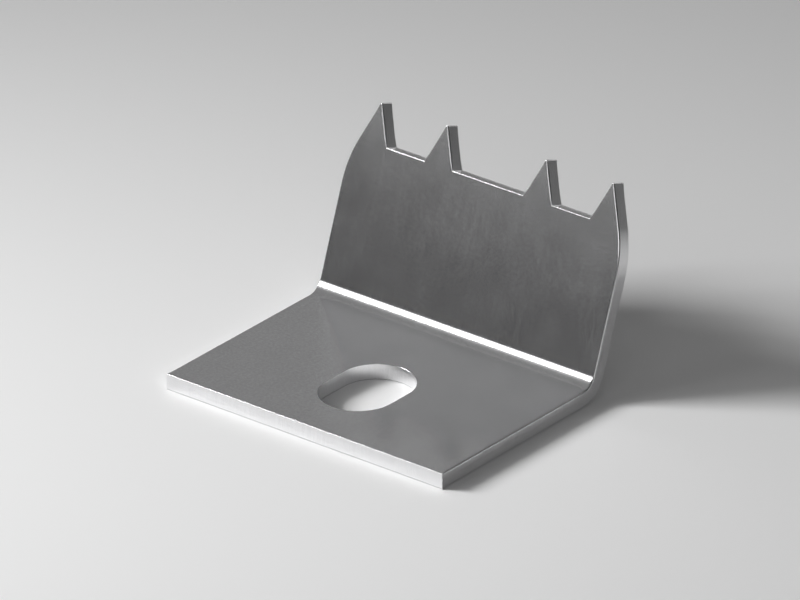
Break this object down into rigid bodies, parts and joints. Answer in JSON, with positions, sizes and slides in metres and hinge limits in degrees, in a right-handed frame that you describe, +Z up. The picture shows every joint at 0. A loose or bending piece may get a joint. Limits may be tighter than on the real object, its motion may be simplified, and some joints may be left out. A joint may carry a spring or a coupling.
{
  "type": "mounting claw",
  "caption": "Bent sheet-steel claw: a flat foot with a slotted hole for a screw, and a leaning flange with a row of pointed teeth along its top edge.",
  "frame": {"origin": "the middle of the slot, on the underside of the foot", "axes": "+X across the claw, +Y back from the slot to the toothed flange, +Z up from the underside of the foot"},
  "size_m": [0.04, 0.037, 0.0239],
  "materials": {
    "zinc_plated_steel": "satin bright zinc plating with a faint rolling grain"
  },
  "bodies": {
    "root": {"claw": "zinc_plated_steel"}
  },
  "joints": []
}
